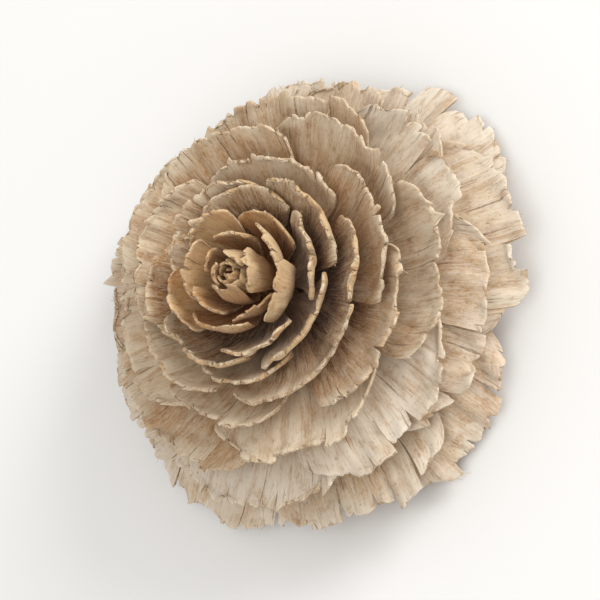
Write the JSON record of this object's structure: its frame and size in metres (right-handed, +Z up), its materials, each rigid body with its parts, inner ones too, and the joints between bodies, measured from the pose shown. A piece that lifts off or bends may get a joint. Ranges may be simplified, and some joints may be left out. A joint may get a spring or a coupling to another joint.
{
  "type": "cedar rose cone",
  "caption": "Dried cedar rose: the top of a deodar cone, with thin woody fan scales opened in a spiral round a short axis and a closed bud at the middle.",
  "frame": {"origin": "centre of the axis's broken lower end, which is flat and rests on the surface", "axes": "+Z runs up the cone's axis to the bud; X and Y are level, and the lowest scale points along +X"},
  "size_m": [0.0596, 0.0587, 0.0259],
  "materials": {
    "axis_wood": "rough broken bark-brown wood",
    "outer_scale": "dry bleached cream wood, fibrous and frayed at the rim",
    "middle_scale": "dry bleached tan wood, fibrous and frayed at the rim",
    "inner_scale": "dry tan wood, browner towards the foot",
    "bud_scale": "dry brown wood with a pale worn rim"
  },
  "bodies": {
    "root": {"cone_axis": "axis_wood", "outer_scale_01": "outer_scale", "outer_scale_02": "outer_scale", "outer_scale_03": "outer_scale", "outer_scale_04": "outer_scale", "outer_scale_05": "outer_scale", "outer_scale_06": "outer_scale", "outer_scale_07": "outer_scale", "outer_scale_08": "outer_scale", "outer_scale_09": "outer_scale", "outer_scale_10": "outer_scale", "outer_scale_11": "outer_scale", "outer_scale_12": "outer_scale", "outer_scale_13": "outer_scale", "outer_scale_14": "outer_scale", "outer_scale_15": "outer_scale", "outer_scale_16": "outer_scale", "middle_scale_01": "middle_scale", "middle_scale_02": "middle_scale", "middle_scale_03": "middle_scale", "middle_scale_04": "middle_scale", "middle_scale_05": "middle_scale", "middle_scale_06": "middle_scale", "middle_scale_07": "middle_scale", "middle_scale_08": "middle_scale", "middle_scale_09": "middle_scale", "middle_scale_10": "middle_scale", "middle_scale_11": "middle_scale", "middle_scale_12": "middle_scale", "middle_scale_13": "middle_scale", "middle_scale_14": "middle_scale", "inner_scale_01": "inner_scale", "inner_scale_02": "inner_scale", "inner_scale_03": "inner_scale", "inner_scale_04": "inner_scale", "inner_scale_05": "inner_scale", "inner_scale_06": "inner_scale", "inner_scale_07": "inner_scale", "inner_scale_08": "inner_scale", "inner_scale_09": "inner_scale", "inner_scale_10": "inner_scale", "inner_scale_11": "inner_scale", "inner_scale_12": "inner_scale", "bud_scale_01": "bud_scale", "bud_scale_02": "bud_scale", "bud_scale_03": "bud_scale", "bud_scale_04": "bud_scale", "bud_scale_05": "bud_scale", "bud_scale_06": "bud_scale", "bud_scale_07": "bud_scale", "bud_scale_08": "bud_scale", "bud_scale_09": "bud_scale", "bud_scale_10": "bud_scale", "bud_scale_11": "bud_scale", "bud_scale_12": "bud_scale", "bud_scale_13": "bud_scale", "bud_scale_14": "bud_scale", "bud_scale_15": "bud_scale", "bud_scale_16": "bud_scale"}
  },
  "joints": []
}
